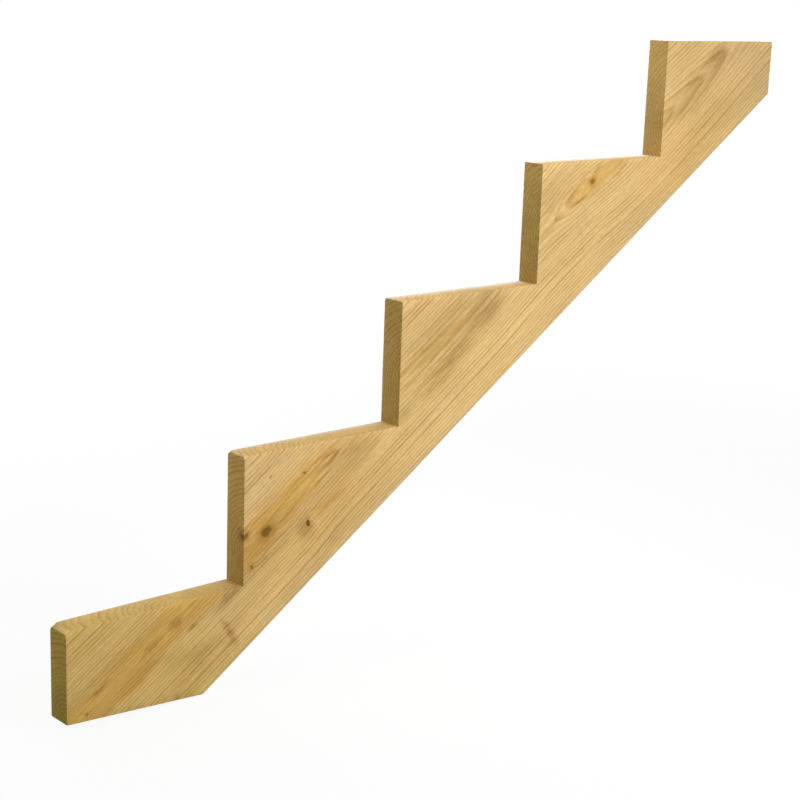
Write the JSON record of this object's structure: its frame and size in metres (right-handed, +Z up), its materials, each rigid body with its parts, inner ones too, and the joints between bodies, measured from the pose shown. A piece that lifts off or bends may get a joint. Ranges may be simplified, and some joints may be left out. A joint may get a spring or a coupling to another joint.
{
  "type": "stair stringer",
  "caption": "Cut stair stringer: a treated pine plank on edge with square step notches along its upper side, a sawn foot and an upright top end, to carry treads and risers.",
  "frame": {"origin": "toe of the foot, where the lowest riser meets the ground, half way through the plank", "axes": "+X up the run of the stair, +Y through the plank to its back face, +Z up; treads are level and risers upright"},
  "size_m": [1.397, 0.0382, 0.878],
  "materials": {
    "treated_pine": "planed faces and sawn cuts, bare, pressure treated"
  },
  "bodies": {
    "root": {"stringer": "treated_pine"}
  },
  "joints": []
}
